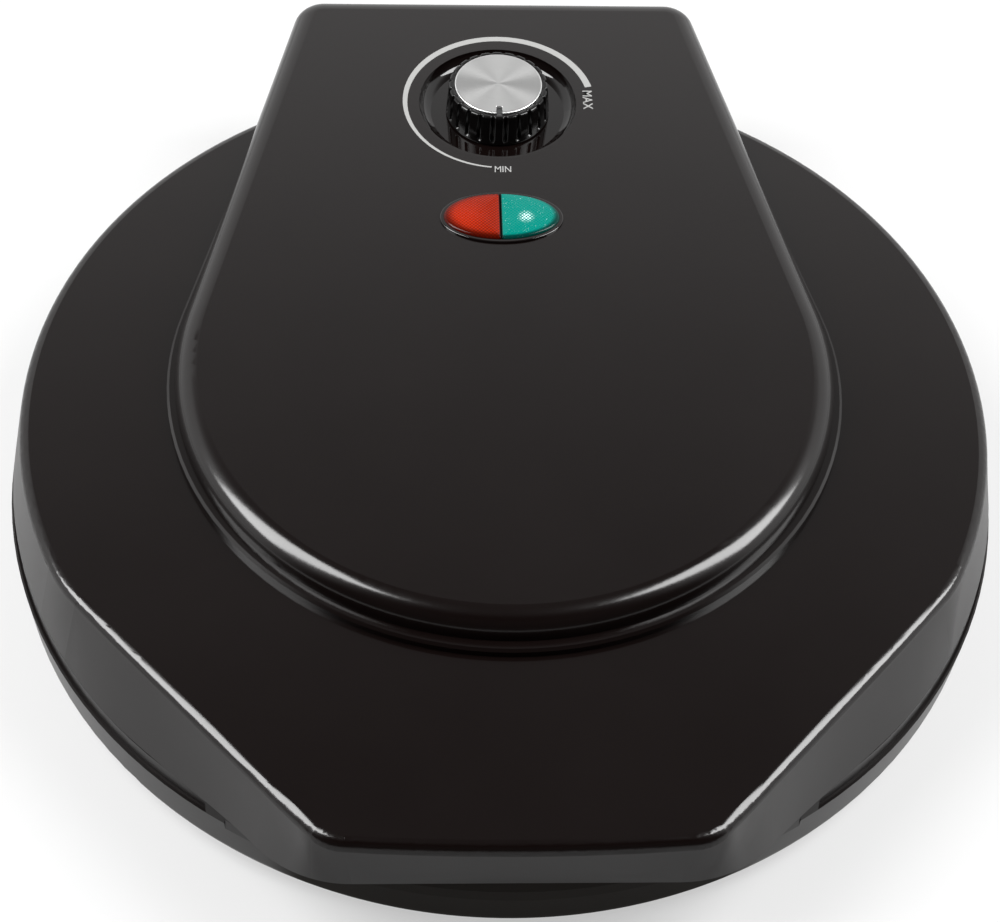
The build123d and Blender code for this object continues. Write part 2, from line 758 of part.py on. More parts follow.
def lens(side, name):
    """Half an oval lens, with a pocket for its neon lamp."""
    top = cover_top_z + lens_rise
    with BuildPart() as made:
        with BuildSketch(Plane.XY.offset(top - lens_rise - lens_depth)):
            with Locations((0, lamp_y)):
                Ellipse(lens_half_length, lens_half_width)
            with Locations((lamp_split_x - side * lamp_half_length, lamp_y)):
                Rectangle(2 * lamp_half_length, 4 * lamp_half_width, mode=Mode.SUBTRACT)
        extrude(amount=lens_rise + lens_depth)
        fillet(made.faces().sort_by(Axis.Z)[-1].edges().filter_by(GeomType.LINE, reverse=True), lens_edge)
        post(side * neon_x, lamp_y, neon_radius, top - lens_rise - lens_depth,
             cover_top_z - lens_rise, Mode.SUBTRACT)
    export(made, name)


lens(-1, "lens_red")
lens(1, "lens_green")

with BuildPart() as neon_lamps:
    for side in (-1, 1):
        post(side * neon_x, lamp_y, neon_radius - clear_hole, cover_top_z - lens_depth - neon_stub,
             cover_top_z - lens_rise)
export(neon_lamps, "neon_lamps")

# Thermostat, screwed up against the underside of the dish
thermostat_top_z = dish_under_z - thermostat_ear
with BuildPart() as thermostat:
    with BuildSketch(Plane.XY.offset(thermostat_top_z - thermostat_height)):
        with Locations((0, knob_y)):
            RectangleRounded(thermostat_length, thermostat_width, thermostat_corner)
    extrude(amount=thermostat_height)
    with BuildSketch(Plane.XY.offset(thermostat_top_z)):
        with Locations((0, knob_y)):
            RectangleRounded(thermostat_ear_length, thermostat_ear_width, thermostat_ear_corner)
        with Locations((thermostat_screw_x, knob_y), (-thermostat_screw_x, knob_y)):
            Circle(small_screw_radius, mode=Mode.SUBTRACT)
    extrude(amount=thermostat_ear)
    for side in (-1, 1):
        with BuildSketch(Plane.XY.offset(thermostat_top_z - thermostat_height / 2 - lead_radius)):
            with Locations((side * tail_x, knob_y - thermostat_width / 2 - terminal_length / 2)):
                Rectangle(3 * lead_radius, terminal_length)
        extrude(amount=2 * lead_radius)
    post(0, knob_y, shaft_radius + running_fit, thermostat_top_z - thermostat_height / 2,
         dish_under_z, Mode.SUBTRACT)
export(thermostat, "thermostat")

with BuildPart() as thermostat_screws:
    for side in (-1, 1):
        screw(side * thermostat_screw_x, knob_y, small_screw_radius, small_head_radius, small_head,
              thermostat_top_z, dish_under_z + thermostat_screw_bite)
export(thermostat_screws, "thermostat_screws")

# Shaft and knob
knob_z = dish_floor_z + knob_lift
flute_start = -90 + 180 / flute_count
knob_top_z = knob_z + knob_height
shaft_top_z = knob_top_z - cap_thickness - shaft_end_gap
flat_y = shaft_radius - shaft_flat


def flatted(radius, low, high, mode=Mode.ADD):
    """A round shaft, or bore, with one flat at the rear."""
    with BuildSketch(Plane.XY.offset(low)) as plan:
        with Locations((0, knob_y)):
            Circle(radius)
        with Locations((0, knob_y + flat_y + radius)):
            Rectangle(4 * radius, 2 * radius, mode=Mode.SUBTRACT)
    extrude(plan.sketch, amount=high - low, mode=mode)


with BuildPart() as thermostat_shaft:
    post(0, knob_y, shaft_radius, thermostat_top_z - thermostat_height / 2 + side_play, knob_z)
    flatted(shaft_radius, knob_z, shaft_top_z)
export(thermostat_shaft, "thermostat_shaft")

with BuildPart() as knob_body:
    with Locations((0, knob_y, knob_z)):
        Cone(knob_radius, knob_radius - knob_draft, knob_height, align=on_seat)
    fillet(knob_body.faces().sort_by(Axis.Z)[-1].edges(), knob_edge)
    post(0, knob_y, knob_radius - knob_wall, knob_z, knob_top_z - knob_top, Mode.SUBTRACT)
    post(0, knob_y, shaft_radius + knob_wall, knob_z, knob_top_z - knob_top)
    with BuildSketch(Plane.XY.offset(knob_z + flute_end)):
        with Locations((0, knob_y)):
            with PolarLocations(knob_radius - knob_draft / 2, flute_count, start_angle=flute_start):
                Circle(flute_radius)
    extrude(amount=knob_height, mode=Mode.SUBTRACT)
    post(0, knob_y, cap_radius, knob_top_z - cap_thickness + cap_proud, knob_top_z, Mode.SUBTRACT)
    flatted(shaft_radius, knob_z, shaft_top_z, Mode.SUBTRACT)
export(knob_body, "knob_body")

with BuildPart() as knob_cap:
    cap_z = knob_top_z - cap_thickness + cap_proud
    post(0, knob_y, cap_radius, cap_z, cap_z + cap_thickness)
    chamfer(knob_cap.faces().sort_by(Axis.Z)[-1].edges(), cap_edge)
    with BuildSketch(Plane.XY.offset(cap_z + cap_thickness / 2)):
        with Locations((0, knob_y - cap_radius + notch_length / 2)):
            Rectangle(notch_width, notch_length)
    extrude(amount=cap_thickness, mode=Mode.SUBTRACT)
export(knob_cap, "knob_cap")

# Thermal fuse on the back of the upper plate
fuse_z = upper_back_z + fuse_radius
with BuildPart() as thermal_fuse:
    with BuildSketch(Plane.YZ.offset(fuse_x - fuse_length / 2)):
        with Locations((fuse_y, fuse_z)):
            Circle(fuse_radius)
    extrude(amount=fuse_length)
export(thermal_fuse, "thermal_fuse")

with BuildPart() as fuse_clip:
    with BuildSketch(Plane.YZ.offset(fuse_x - clip_width / 2)):
        with Locations((fuse_y, fuse_z)):
            Circle(fuse_radius + clip_thickness)
        with Locations((fuse_y - fuse_radius - clip_thickness, fuse_z - fuse_radius)):
            Rectangle(2 * (fuse_radius + clip_thickness), fuse_radius, align=(Align.MIN, Align.MIN))
        with Locations((fuse_y, fuse_z - fuse_radius)):
            Rectangle(fuse_radius + clip_foot, clip_thickness, align=(Align.MIN, Align.MIN))
        with Locations((fuse_y, fuse_z)):
            Circle(fuse_radius, mode=Mode.SUBTRACT)
        with Locations((fuse_y - fuse_radius, fuse_z - 2 * fuse_radius)):
            Rectangle(2 * fuse_radius, 2 * fuse_radius, align=(Align.MIN, Align.MIN), mode=Mode.SUBTRACT)
        with Locations((fuse_y, fuse_z - 3 * fuse_radius)):
            Rectangle(4 * clip_foot, 2 * fuse_radius, align=(Align.CENTER, Align.MIN), mode=Mode.SUBTRACT)
    extrude(amount=clip_width)
    post(fuse_x, fuse_y + fuse_radius + clip_foot / 2, small_screw_radius, upper_back_z,
         upper_back_z + clip_thickness, Mode.SUBTRACT)
export(fuse_clip, "fuse_clip")

with BuildPart() as clip_screw:
    screw(fuse_x, fuse_y + fuse_radius + clip_foot / 2, small_screw_radius, small_head_radius,
          small_head, upper_back_z + clip_thickness, upper_back_z - plate_thickness / 2)
export(clip_screw, "clip_screw")

# Terminal block, cord grommet and leads
with BuildPart() as terminal_block:
    with BuildSketch(Plane.XY.offset(floor_top_z)):
        with Locations((0, block_y)):
            Rectangle(block_length, block_width)
    extrude(amount=lower_back_z - block_gap - floor_top_z)
    fillet(terminal_block.edges().filter_by(Axis.Z), block_corner)
export(terminal_block, "terminal_block")

with BuildPart() as cord_grommet:
    wall_inside = sqrt(cavity_radius ** 2 - grommet_flange_radius ** 2)
    wall_outside = base_radius + rim_flare * (grommet_z + grommet_flange_radius - floor_z) / rim_height
    with BuildSketch(Plane.XZ.offset(-wall_inside + grommet_flange)):
        with Locations((0, grommet_z)):
            Circle(grommet_flange_radius)
    extrude(amount=-grommet_flange)
    with BuildSketch(Plane.XZ.offset(-wall_inside)):
        with Locations((0, grommet_z)):
            Circle(grommet_radius)
    extrude(amount=-(wall_outside - wall_inside))
    with BuildSketch(Plane.XZ.offset(-wall_outside)):
        with Locations((0, grommet_z)):
            Circle(grommet_flange_radius)
    extrude(amount=-grommet_flange)
    fillet(cord_grommet.faces().sort_by(Axis.Y)[-1].edges(), grommet_flange / 2)
    with BuildSketch(Plane.XZ.offset(-wall_outside - 2 * grommet_flange)):
        with Locations((0, grommet_z)):
            Circle(cord_hole_radius)
    extrude(amount=wall_outside - wall_inside + 4 * grommet_flange, mode=Mode.SUBTRACT)
export(cord_grommet, "cord_grommet")

pin_y = tail_y - pin_length
with BuildPart() as base_leads:
    for side in (-1, 1):
        with BuildLine(Plane.XY.offset(lower_tube_z)) as route:
            FilletPolyline(
                (side * tail_x, pin_y),
                (side * tail_x, pin_y - 2 * lead_bend),
                (side * lead_spread, pin_y - 2 * lead_bend),
                (side * lead_spread, block_y - block_width / 2),
                radius=lead_bend,
            )
        with BuildSketch(Plane(origin=(side * tail_x, pin_y, lower_tube_z), z_dir=(0, -1, 0))):
            Circle(lead_radius)
        sweep(path=route.line)
export(base_leads, "base_leads")

terminal_z = thermostat_top_z - thermostat_height / 2
with BuildPart() as lid_leads:
    for side in (-1, 1):
        with BuildLine() as route:
            FilletPolyline(
                (side * tail_x, pin_y, upper_tube_z),
                (side * tail_x, pin_y - 1.5 * lead_bend, upper_tube_z),
                (side * tail_x, pin_y - 1.5 * lead_bend, terminal_z),
                (side * tail_x, knob_y - thermostat_width / 2 - terminal_length, terminal_z),
                radius=lead_bend,
            )
        with BuildSketch(Plane(origin=(side * tail_x, pin_y, upper_tube_z), z_dir=(0, -1, 0))):
            Circle(lead_radius)
        sweep(path=route.line)
export(lid_leads, "lid_leads")
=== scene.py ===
import math

import bmesh
import bpy
import numpy as np
from bpy.props import FloatProperty, FloatVectorProperty, IntProperty, PointerProperty
from mathutils import Matrix, Vector


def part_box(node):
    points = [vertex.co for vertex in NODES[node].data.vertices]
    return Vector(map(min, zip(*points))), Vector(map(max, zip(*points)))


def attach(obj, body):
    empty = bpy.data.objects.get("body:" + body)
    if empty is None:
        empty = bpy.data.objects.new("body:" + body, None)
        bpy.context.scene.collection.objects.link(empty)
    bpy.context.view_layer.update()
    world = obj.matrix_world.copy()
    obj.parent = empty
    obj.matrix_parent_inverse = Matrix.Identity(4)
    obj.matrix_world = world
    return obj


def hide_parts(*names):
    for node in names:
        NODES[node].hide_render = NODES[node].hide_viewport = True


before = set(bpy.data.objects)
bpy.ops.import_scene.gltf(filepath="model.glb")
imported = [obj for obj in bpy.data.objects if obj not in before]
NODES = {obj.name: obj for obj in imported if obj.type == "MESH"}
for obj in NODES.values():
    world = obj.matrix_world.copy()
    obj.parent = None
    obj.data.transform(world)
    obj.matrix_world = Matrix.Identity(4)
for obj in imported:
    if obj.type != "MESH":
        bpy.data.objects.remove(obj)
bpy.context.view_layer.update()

bl_info = {
    "name": "Pizza maker finish",
    "version": (1, 0, 0),
    "blender": (4, 5, 0),
    "location": "View3D > Sidebar > Pizza maker",
    "description": "Gives the pizza maker its finishes, its knob, dial print and lamp, and a stage",
    "category": "Object",
}

MM = 0.001


def in_mm(corners):
    """A box's low and high corner, each as x, y and z in millimetres."""
    return [np.array(corner) / MM for corner in corners]


# Places that the solids give, in millimetres
CAP_LOW, CAP_HIGH = in_mm(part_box("knob_cap"))
SKIRT_LOW, SKIRT_HIGH = in_mm(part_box("knob_body"))
RED_LOW, RED_HIGH = in_mm(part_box("lens_red"))
GREEN_LOW, GREEN_HIGH = in_mm(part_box("lens_green"))
COVER_TOP = in_mm(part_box("control_cover"))[1][2]
KNOB_X, KNOB_Y = (CAP_LOW + CAP_HIGH)[:2] / 2
CAP_RADIUS = (CAP_HIGH - CAP_LOW)[0] / 2
SKIRT_RADIUS = (SKIRT_HIGH - SKIRT_LOW)[0] / 2
LENS_MIDDLE_Y = (RED_LOW + RED_HIGH)[1] / 2
LENS_SPLIT_X = (RED_HIGH + GREEN_LOW)[0] / 2

# Where one finish passes into another, in millimetres: the height of the lid's shoulder, the
# nose's front, where a duller copy of the black paints shade, the width and depth of the base's
# front under the nose, where a duller, browner black paints the shade of the nose's overhang,
# and the dish's wall round the knob
LID_SHOULDER = (60.5, 63.8)
NOSE_FRONT = (-181.0, -176.0)
BASE_SHADE_X = (66.0, 80.0)
BASE_SHADE_Y = (-120.0, -100.0)
DISH_WALL = (29.5, 30.4)

# The pointer notch in the front edge of the knob's cap, in millimetres
NOTCH_HALF_WIDTH = 1.0
NOTCH_LENGTH = 3.4

# The dial print, in millimetres: how deep it is sunk, and how far its arc is off the knob's axis.
# A word has its x, its y from the knob's axis, its turn, its letters' height and its length.
PRINT_SUNK = 0.02
ARC_SHIFT = (0.5, 0.6)
WORDS = (
    ("MIN", 1.1, -36.0, 0.0, 3.1, 6.0),
    ("MAX", 33.8, 1.4, -90.0, 3.6, 10.2),
)

# The sky: its brightness by the upward part of a direction, and its strength in front of the
# pizza maker and behind it, with the part of the direction along y where they meet
SKY = (
    (0.0, 1.1),
    (0.60, 1.1),
    (0.653, 1.0),
    (0.73, 0.50),
    (0.772, 0.34),
    (0.81, 0.21),
    (0.85, 0.12),
    (1.0, 0.06),
)
SKY_FRONT = 0.04
SKY_BEHIND = 1.25
SKY_MEETING = (-0.55, -0.15)

# The soft boxes: place, width and height in metres, and power in watts
SOFT_BOXES = (
    ("left_box", (-0.93, -0.08, 1.12), 0.60, 1.15, 39.0),
    ("right_box", (0.95, -0.06, 1.10), 0.56, 1.12, 35.0),
)
SOFT_BOX_TARGET = (0, 0, 0.05)


def length_setting(name, description, millimetres):
    """A setting for a length."""
    default = millimetres * MM
    return FloatProperty(name=name, description=description, default=default, unit="LENGTH")


def angle_setting(name, description, degrees):
    """A setting for an angle."""
    default = math.radians(degrees)
    return FloatProperty(name=name, description=description, default=default, subtype="ANGLE")


def colour_setting(name, description, default):
    """A setting for a colour."""
    return FloatVectorProperty(
        name=name, description=description, default=default, subtype="COLOR", size=3
    )


class PizzaMakerSizes(bpy.types.PropertyGroup):
    """Sizes of the pieces that are made here."""

    arc_radius: length_setting(
        "Dial arc radius", "Outer radius of the printed arc about the knob", 36.0
    )
    arc_wide: length_setting("Dial arc width", "Width of the printed arc where it is widest", 2.5)
    arc_narrow: length_setting(
        "Dial arc end width", "Width of the printed arc at its narrow end", 0.6
    )
    arc_start: angle_setting(
        "Dial arc start", "Direction of the arc's narrow end, seen from the knob", -95.7
    )
    arc_sweep: angle_setting(
        "Dial arc sweep", "Angle that the arc covers, clockwise from its narrow end", 251.0
    )
    print_height: length_setting("Print thickness", "Thickness of the ink on the cover", 0.06)
    flutes: IntProperty(
        name="Flutes", description="Number of grooves round the knob", default=24, min=3
    )
    flute_depth: length_setting("Flute depth", "Depth of each groove of the knob", 0.8)
    lens_pitch: length_setting(
        "Lens pattern pitch", "Distance between the diamonds pressed into the lenses", 0.95
    )
    lens_relief: length_setting(
        "Lens pattern relief", "Height of the diamonds pressed into the lenses", 0.09
    )


class PizzaMakerColours(bpy.types.PropertyGroup):
    """Colours of the finishes."""

    shell: colour_setting("Shell", "Black of the base and the lid", (0.0016, 0.0008, 0.0007))
    print_ink: colour_setting("Print", "Silver grey of the dial print", (0.22, 0.22, 0.215))
    knob: colour_setting("Knob", "Black of the knob's skirt", (0.0012, 0.0010, 0.0010))
    metal: colour_setting("Knob metal", "Spun metal of the knob's cap", (0.52, 0.52, 0.515))
    red: colour_setting("Red lens", "Colour of the left lens", (0.24, 0.011, 0.001))
    green: colour_setting("Green lens", "Colour of the right lens", (0.0, 0.115, 0.092))
    coating: colour_setting(
        "Plate coating", "Non-stick coating of the cooking plates", (0.022, 0.022, 0.023)
    )
    floor: colour_setting("Floor", "Colour of the floor", (0.20, 0.20, 0.20))


class Wire:
    """A shader socket that takes part in sums. Each operator adds one Math node."""

    def __init__(self, bench, socket):
        self.bench = bench
        self.socket = socket

    def maths(self, operation, *values):
        inputs = dict(enumerate(values))
        return self.bench.node("ShaderNodeMath", {"operation": operation}, inputs)

    def __add__(self, other):
        return self.maths("ADD", self, other)

    def __radd__(self, other):
        return self.maths("ADD", other, self)

    def __sub__(self, other):
        return self.maths("SUBTRACT", self, other)

    def __rsub__(self, other):
        return self.maths("SUBTRACT", other, self)

    def __mul__(self, other):
        return self.maths("MULTIPLY", self, other)

    def __rmul__(self, other):
        return self.maths("MULTIPLY", other, self)

    def absolute(self):
        return self.maths("ABSOLUTE", self)

    def sine(self):
        return self.maths("SINE", self)

    def root(self):
        return self.maths("SQRT", self)

    def step(self, low, high):
        """0 below low, 1 above high and smooth between them."""
        settings = {"interpolation_type": "SMOOTHSTEP"}
        inputs = {"Value": self, "From Min": low, "From Max": high}
        return self.bench.node("ShaderNodeMapRange", settings, inputs)


class Bench:
    """The nodes of a new material or world. Each node comes from the one method below."""

    def __init__(self, name, kind="materials"):
        self.owner = getattr(bpy.data, kind).new(name)
        self.owner.use_nodes = True
        self.tree = self.owner.node_tree
        self.tree.nodes.clear()

    def node(self, kind, settings=None, inputs=None, output=0):
        """Adds a node, sets it up, then fills or links its sockets. Returns one output."""
        made = self.tree.nodes.new(kind)
        for key, value in (settings or {}).items():
            if key == "stops":
                ramp = made.color_ramp
                while len(ramp.elements) < len(value):
                    ramp.elements.new(0.5)
                for stop, (position, colour) in zip(ramp.elements, value):
                    stop.position = position
                    stop.color = (*colour, 1.0)
            else:
                setattr(made, key, value)
        for key, value in (inputs or {}).items():
            if isinstance(value, Wire):
                self.tree.links.new(value.socket, made.inputs[key])
            else:
                made.inputs[key].default_value = value
        return Wire(self, made.outputs[output]) if made.outputs else None

    def place(self):
        """Object coordinates in millimetres."""
        here = self.node("ShaderNodeTexCoord", output="Object")
        inputs = {0: here, "Scale": 1.0 / MM}
        return self.node("ShaderNodeVectorMath", {"operation": "SCALE"}, inputs)

    def parts(self, vector):
        """A vector's three numbers."""
        inputs = {0: vector}
        return [self.node("ShaderNodeSeparateXYZ", inputs=inputs, output=i) for i in range(3)]

    def axes(self):
        """Object coordinates in millimetres as three numbers."""
        return self.parts(self.place())

    def distance(self, x, y, centre_x, centre_y):
        """The distance from an upright axis through a centre."""
        across = x - centre_x
        along = y - centre_y
        return (across * across + along * along).root()

    def noise(self, size, detail, roughness=0.5):
        """Soft noise from 0 to 1 whose lumps are about size millimetres across."""
        inputs = {
            "Vector": self.place(),
            "Scale": 1.0 / size,
            "Detail": detail,
            "Roughness": roughness,
        }
        return self.node("ShaderNodeTexNoise", inputs=inputs)

    def lines(self, scale, detail, *numbers):
        """Noise read at three numbers, drawn out into lines where one of them changes little."""
        track = self.node("ShaderNodeCombineXYZ", inputs=dict(enumerate(numbers)))
        inputs = {"Vector": track, "Scale": scale, "Detail": detail}
        return self.node("ShaderNodeTexNoise", inputs=inputs)

    def cells(self, size, output):
        """Cells about size millimetres across: their Color, or the Distance to their middle."""
        inputs = {"Vector": self.place(), "Scale": 1.0 / size}
        return self.node("ShaderNodeTexVoronoi", inputs=inputs, output=output)

    def pick(self, size):
        """One number from 0 to 1 for each cell."""
        return self.node("ShaderNodeSeparateColor", inputs={0: self.cells(size, "Color")})

    def mix(self, share, low, high):
        """A colour between low and high."""
        inputs = {0: share, 6: self.colour(low), 7: self.colour(high)}
        return self.node("ShaderNodeMix", {"data_type": "RGBA"}, inputs, output=2)

    def colour(self, value):
        """A colour socket's value: a wire, or three numbers and an alpha of one."""
        return value if isinstance(value, Wire) else (*value, 1.0)

    def bump(self, height, distance):
        """A normal from a height that is given in parts of distance millimetres."""
        inputs = {"Height": height, "Distance": distance * MM, "Strength": 1.0}
        return self.node("ShaderNodeBump", inputs=inputs)

    def shader(self, **sockets):
        """A Principled shader whose sockets are named with _ for each space."""
        inputs = {key.replace("_", " "): value for key, value in sockets.items()}
        return self.node("ShaderNodeBsdfPrincipled", inputs=inputs)

    def blend(self, share, first, second):
        """A first shader that passes into a second one as share goes from 0 to 1."""
        return self.node("ShaderNodeMixShader", inputs={0: share, 1: first, 2: second})

    def finish(self, shader):
        """Puts a shader on the output. Returns the finished material."""
        self.node("ShaderNodeOutputMaterial", inputs={"Surface": shader})
        return self.owner

    def surface(self, **sockets):
        """One Principled shader as the whole material."""
        return self.finish(self.shader(**sockets))


class Moulding:
    """The skin of moulded black plastic: slow flow marks, fine orange peel and a grain."""

    def __init__(self, bench, colour, lift, roughness):
        self.flow = bench.noise(48.0, 3.0)
        peel = bench.noise(1.7, 1.0)
        self.grain = bench.noise(0.32, 1.0)
        lighter = [c * 1.5 + lift for c in colour]
        self.colour = bench.mix(self.flow * 0.6 + self.grain * 0.25, colour, lighter)
        self.roughness = roughness + (self.flow - 0.5) * 0.05 + (self.grain - 0.5) * 0.03
        self.height = peel * 0.75 + self.grain * 0.25


def bezel_gloss(name, colour):
    """The lamp bezel's black: gloss, with faint hairline wear."""
    bench = Bench(name)
    skin = Moulding(bench, colour, lift=0.0015, roughness=0.08)
    wear = bench.noise(9.0, 4.0, roughness=0.65).step(0.56, 0.80)
    return bench.surface(
        Base_Color=skin.colour,
        Roughness=skin.roughness + wear * 0.035,
        Normal=bench.bump(skin.height, 0.004),
        IOR=1.5,
    )


def lid_gloss(name, colour):
    """The lid's black: gloss on top, satin walls, and painted shade as a duller copy on the nose's
    front.
    """
    bench = Bench(name)
    y, z = bench.axes()[1:]
    skin = Moulding(bench, colour, lift=0.0004, roughness=0.16)
    wall = 1.0 - z.step(*LID_SHOULDER)
    # The nose's front fades into a duller copy of the black that reflects less: painted shade.
    nose = wall * (1.0 - y.step(*NOSE_FRONT)) * 0.70
    normal = bench.bump(skin.height, 0.003)
    shiny = bench.shader(
        Base_Color=skin.colour,
        Roughness=skin.roughness + wall * 0.24,
        Normal=normal,
        IOR=1.42,
    )
    # A copy of the black that reflects less, painting shade on the nose's front
    dull_shade = bench.shader(
        Base_Color=skin.colour,
        Roughness=0.55 + skin.grain * 0.10,
        Normal=normal,
        IOR=1.42,
        Specular_IOR_Level=0.10,
    )
    return bench.finish(bench.blend(nose, shiny, dull_shade))


def base_gloss(name, colour):
    """The base's black: satin moulding, with painted shade on its front under the nose: a duller,
    browner black.
    """
    bench = Bench(name)
    x, y = bench.axes()[:2]
    skin = Moulding(bench, colour, lift=0.0015, roughness=0.30)
    # Painted shade: under the nose's overhang the front fades into a duller, browner black.
    front = (1.0 - x.absolute().step(*BASE_SHADE_X)) * (1.0 - y.step(*BASE_SHADE_Y))
    normal = bench.bump(skin.height, 0.014)
    satin = bench.shader(
        Base_Color=skin.colour,
        Roughness=skin.roughness,
        Normal=normal,
        IOR=1.22,
    )
    # A browner black that reflects little, painting the shade under the nose
    matt_shade = bench.shader(
        Base_Color=bench.mix(skin.flow, (0.0052, 0.0040, 0.0028), (0.0070, 0.0054, 0.0038)),
        Roughness=0.60 + skin.grain * 0.10,
        Normal=normal,
        IOR=1.5,
        Specular_IOR_Level=0.05,
    )
    return bench.finish(bench.blend(front, satin, matt_shade))


def cover_gloss(name, colour):
    """The cover's black, polished where the dish turns down round the knob."""
    bench = Bench(name)
    x, y = bench.axes()[:2]
    roughness = 0.17
    polished = 0.06
    skin = Moulding(bench, colour, lift=0.0004, roughness=roughness)
    wall = 1.0 - bench.distance(x, y, KNOB_X, KNOB_Y).step(*DISH_WALL)
    return bench.surface(
        Base_Color=skin.colour,
        Roughness=skin.roughness - wall * (roughness - polished),
        Normal=bench.bump(skin.height * (1.0 - wall), 0.010),
        IOR=1.42,
    )


def ink(name, colour):
    """Screen printed ink: slightly uneven cover and a dry grain."""
    bench = Bench(name)
    grain = bench.noise(0.25, 2.0)
    cover = bench.noise(2.2, 2.0)
    base = bench.mix(cover * 0.5 + grain * 0.4, [c * 0.86 for c in colour], colour)
    normal = bench.bump(grain, 0.01)
    return bench.surface(Base_Color=base, Roughness=0.42 + grain * 0.12, Normal=normal)


def spun_metal(name, colour):
    """Turned aluminium: fine rings about the knob's axis, and a dark notch at its edge."""
    bench = Bench(name)
    x, y = bench.axes()[:2]
    radius = bench.distance(x, y, KNOB_X, KNOB_Y)
    rings = bench.lines(2.6, 4.0, radius * 2.4, 0.0, 0.0)
    stain = bench.noise(5.0, 2.0)
    side = (x - KNOB_X).absolute().step(NOTCH_HALF_WIDTH - 0.05, NOTCH_HALF_WIDTH + 0.05)
    end = CAP_LOW[1] + NOTCH_LENGTH
    notch = (1.0 - side) * (1.0 - y.step(end - 0.1, end + 0.1))
    bright = bench.mix(rings * 0.6 + stain * 0.25, [c * 0.80 for c in colour], colour)
    return bench.surface(
        Base_Color=bench.mix(notch, bright, (0.016, 0.016, 0.016)),
        Metallic=1.0 - notch,
        Roughness=0.24 + rings * 0.10,
        Anisotropic=0.85,
        Normal=bench.bump(rings, 0.012),
    )


def knob_plastic(name, colour):
    """Gloss black plastic with a fine tool grain."""
    bench = Bench(name)
    grain = bench.noise(0.28, 2.0)
    smear = bench.noise(4.0, 2.0)
    base = bench.mix(smear * 0.6, colour, [c * 1.6 + 0.001 for c in colour])
    normal = bench.bump(grain, 0.008)
    return bench.surface(Base_Color=base, Roughness=0.14 + smear * 0.06, Normal=normal, IOR=1.38)


def lens_plastic(name, colour, glow_x, spark, dark, rim):
    """Clear dyed plastic over a diamond grid, with the lamp's light painted into it.

    A painted glow gathers at glow_x, with painted white glints of strength spark. Between the
    diamonds the colour falls to the share dark, painted light through the diamonds. It turns
    black from the share rim of the oval outwards, painted shade at the lens's rim, and black
    where the two lenses meet.
    """
    bench = Bench(name)
    x, y = bench.axes()[:2]
    wide = (x - LENS_SPLIT_X) * (2.0 / (GREEN_HIGH - RED_LOW)[0])
    high = (y - LENS_MIDDLE_Y - 0.5) * (2.0 / (RED_HIGH - RED_LOW)[1])
    # Painted shade: black from the oval's rim outwards
    edge = (wide * wide + high * high).root().step(rim, 0.98)
    split = 1.0 - (x - LENS_SPLIT_X).absolute().step(0.35, 0.75)
    # Painted glow of the lamp behind the lens
    near = bench.distance(x, y, glow_x, LENS_MIDDLE_Y - 1.2)
    glow = 1.0 - near.step(0.5, 11.0)
    diamond_phase = 2.34
    rising = ((x + y) * diamond_phase).sine().absolute()
    falling = ((x - y) * diamond_phase).sine().absolute()
    lattice = rising * falling
    # Painted white glints, gathered near the glow and scattered thinly elsewhere
    sparkle_noise = bench.noise(0.45, 2.0)
    gathered = (1.0 - near.step(0.2, 3.6)) * lattice.step(0.25, 0.75) * sparkle_noise.step(0.36, 0.52)
    sparks = (gathered * 0.9 + sparkle_noise.step(0.68, 0.74) * 0.40) * spark
    # Painted light: the diamonds and the glow lighten the colour
    deep = bench.mix(lattice * 0.9 + glow * 0.30, [c * dark for c in colour], colour)
    bright = bench.mix(sparks, deep, (0.75, 0.95, 0.92))
    # The lens glows with the lamp's painted light, though it is no lamp itself
    lit = bench.mix(glow * (1.0 - edge), (0.0, 0.0, 0.0), colour)
    return bench.surface(
        Base_Color=bench.mix(edge * 0.85 + split, bright, [c * 0.05 for c in colour]),
        Roughness=0.10 + lattice * 0.05,
        Emission_Color=bench.mix(sparks, lit, (0.55, 0.75, 0.72)),
        Emission_Strength=0.12,
        IOR=1.22,
    )


def plate_coating(name, colour):
    """Non-stick coating: fine light flecks on a dark ground and a pebbled skin."""
    bench = Bench(name)
    middle = bench.cells(0.9, "Distance")
    fleck = (1.0 - middle.step(0.10, 0.22)) * bench.pick(0.9).step(0.72, 0.78)
    skin = bench.noise(0.5, 2.0)
    stain = bench.noise(26.0, 4.0)
    ground = bench.mix(stain, [c * 0.8 for c in colour], [c * 1.35 for c in colour])
    return bench.surface(
        Base_Color=bench.mix(fleck * 0.8, ground, (0.16, 0.16, 0.155)),
        Roughness=0.34 + stain * 0.10 + skin * 0.08,
        Normal=bench.bump(skin * 0.8 + fleck * 0.2, 0.03),
    )


def rolled_steel(name, colour, roughness, spangle):
    """Sheet steel: crystal spangle, rolling lines along X and light tarnish."""
    bench = Bench(name)
    crystal = bench.pick(spangle)
    x, y, z = bench.axes()
    lines = bench.lines(1.0, 3.0, x * 0.02, y * 2.2, z * 2.2)
    tarnish = bench.noise(14.0, 4.0).step(0.45, 0.85)
    bright = bench.mix(crystal * 0.6 + lines * 0.3, [c * 0.72 for c in colour], colour)
    return bench.surface(
        Base_Color=bench.mix(tarnish * 0.35, bright, (0.22, 0.19, 0.16)),
        Metallic=1.0,
        Roughness=roughness + crystal * 0.10 + tarnish * 0.12,
        Normal=bench.bump(lines, 0.01),
    )


